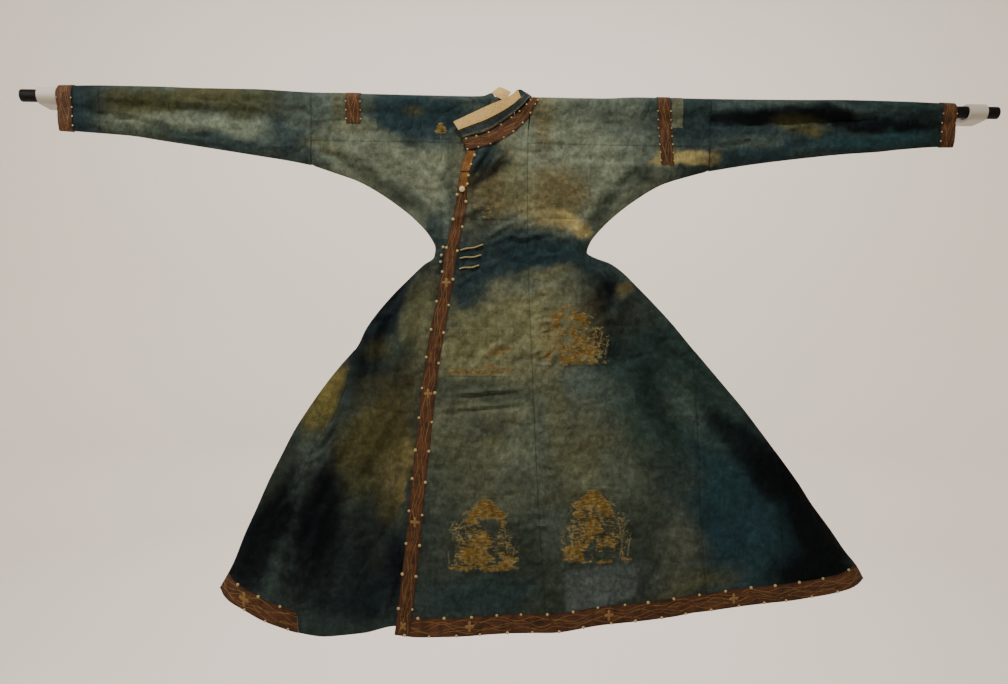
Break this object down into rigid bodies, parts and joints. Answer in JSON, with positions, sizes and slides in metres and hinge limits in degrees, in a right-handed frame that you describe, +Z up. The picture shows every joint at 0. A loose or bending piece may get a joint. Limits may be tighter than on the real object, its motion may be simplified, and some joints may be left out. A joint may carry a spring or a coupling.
{
  "type": "brocade silk robe and rod",
  "caption": "Wrap-front brocade silk robe with long narrow sleeves, crossed collar, woven borders and a flared skirt, hung flat on a rod through both sleeves.",
  "frame": {"origin": "on the rod's axis, halfway along the rod", "axes": "+X along the rod to the viewer's right, +Y from the front of the robe to the wall behind it, +Z up"},
  "size_m": [2.344, 0.1015, 1.3065],
  "materials": {
    "silk": "worn brocade silk, dark teal to olive grey, soft sheen",
    "border": "brown woven border with gold thread",
    "lining": "matt gold silk",
    "button": "smooth cream",
    "cord": "twisted silk cord",
    "rod": "satin black paint",
    "bracket": "satin white paint"
  },
  "bodies": {
    "root": {"rod": "rod", "bracket_left": "bracket", "bracket_right": "bracket", "sleeve_left": "silk", "sleeve_right": "silk", "cuff_left": "silk", "border_cuff_left": "border", "cuff_right": "silk", "border_cuff_right": "border", "shoulder_left": "silk", "shoulder_right": "silk", "arm_band_left": "border", "arm_band_right": "border", "front_wrap": "silk", "front_right": "silk", "front_gore_right": "silk", "front_corner_right": "silk", "front_left": "silk", "front_underlap": "silk", "front_gore_left": "silk", "back_left": "silk", "back_right": "silk", "back_gore_left": "silk", "back_gore_right": "silk", "border_tab_upper": "border", "border_tab_lower": "border", "border_front": "border", "border_corner": "border", "border_hem_front": "border", "border_hem_left": "border", "border_hem_back_left": "border", "border_hem_back_right": "border", "border_neck": "border", "collar_band": "silk", "collar_lining": "lining", "collar_inner_end": "lining", "collar_back": "silk", "button_front": "button", "button_waist_1": "button", "button_waist_2": "button", "button_waist_3": "button", "cord_waist_1": "cord", "cord_waist_2": "cord", "cord_waist_3": "cord"}
  },
  "joints": []
}
